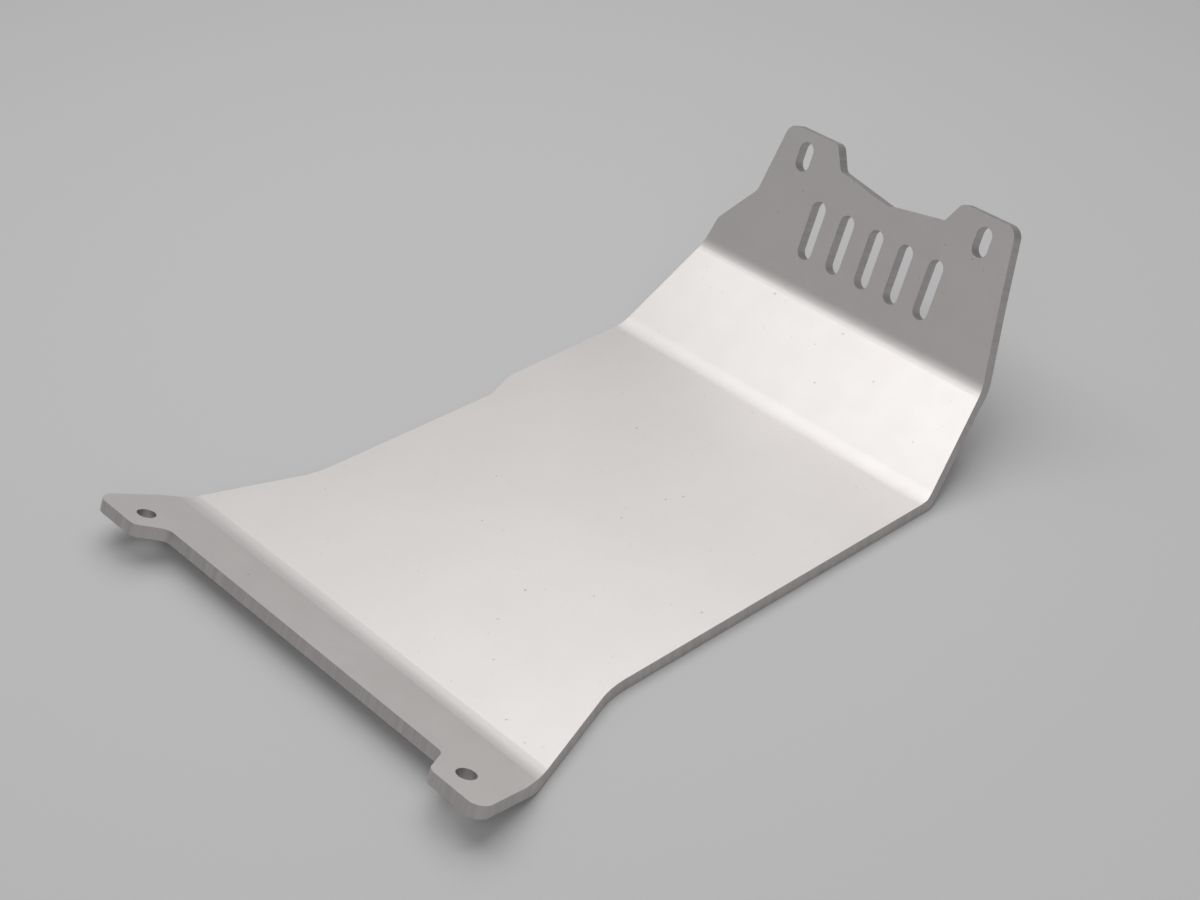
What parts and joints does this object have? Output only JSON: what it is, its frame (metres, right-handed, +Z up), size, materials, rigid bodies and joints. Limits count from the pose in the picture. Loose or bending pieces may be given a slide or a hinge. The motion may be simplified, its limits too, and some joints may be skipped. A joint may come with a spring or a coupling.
{
  "type": "motorcycle skid plate",
  "caption": "Flat aluminium guard for the underside of a motorcycle engine, folded up at the rear and in two steps at the front, with bolt ears at its corners.",
  "frame": {"origin": "middle of the underside of the main panel, halfway between its two folds and midway between the two rear holes", "axes": "+Y forward, towards the tall folded end; +X right; +Z up, away from the ground"},
  "size_m": [0.21, 0.3005, 0.0827],
  "materials": {
    "bare_aluminium": "satin, fine blasted grain, laser-cut edges"
  },
  "bodies": {
    "root": {"skid_plate": "bare_aluminium"}
  },
  "joints": []
}
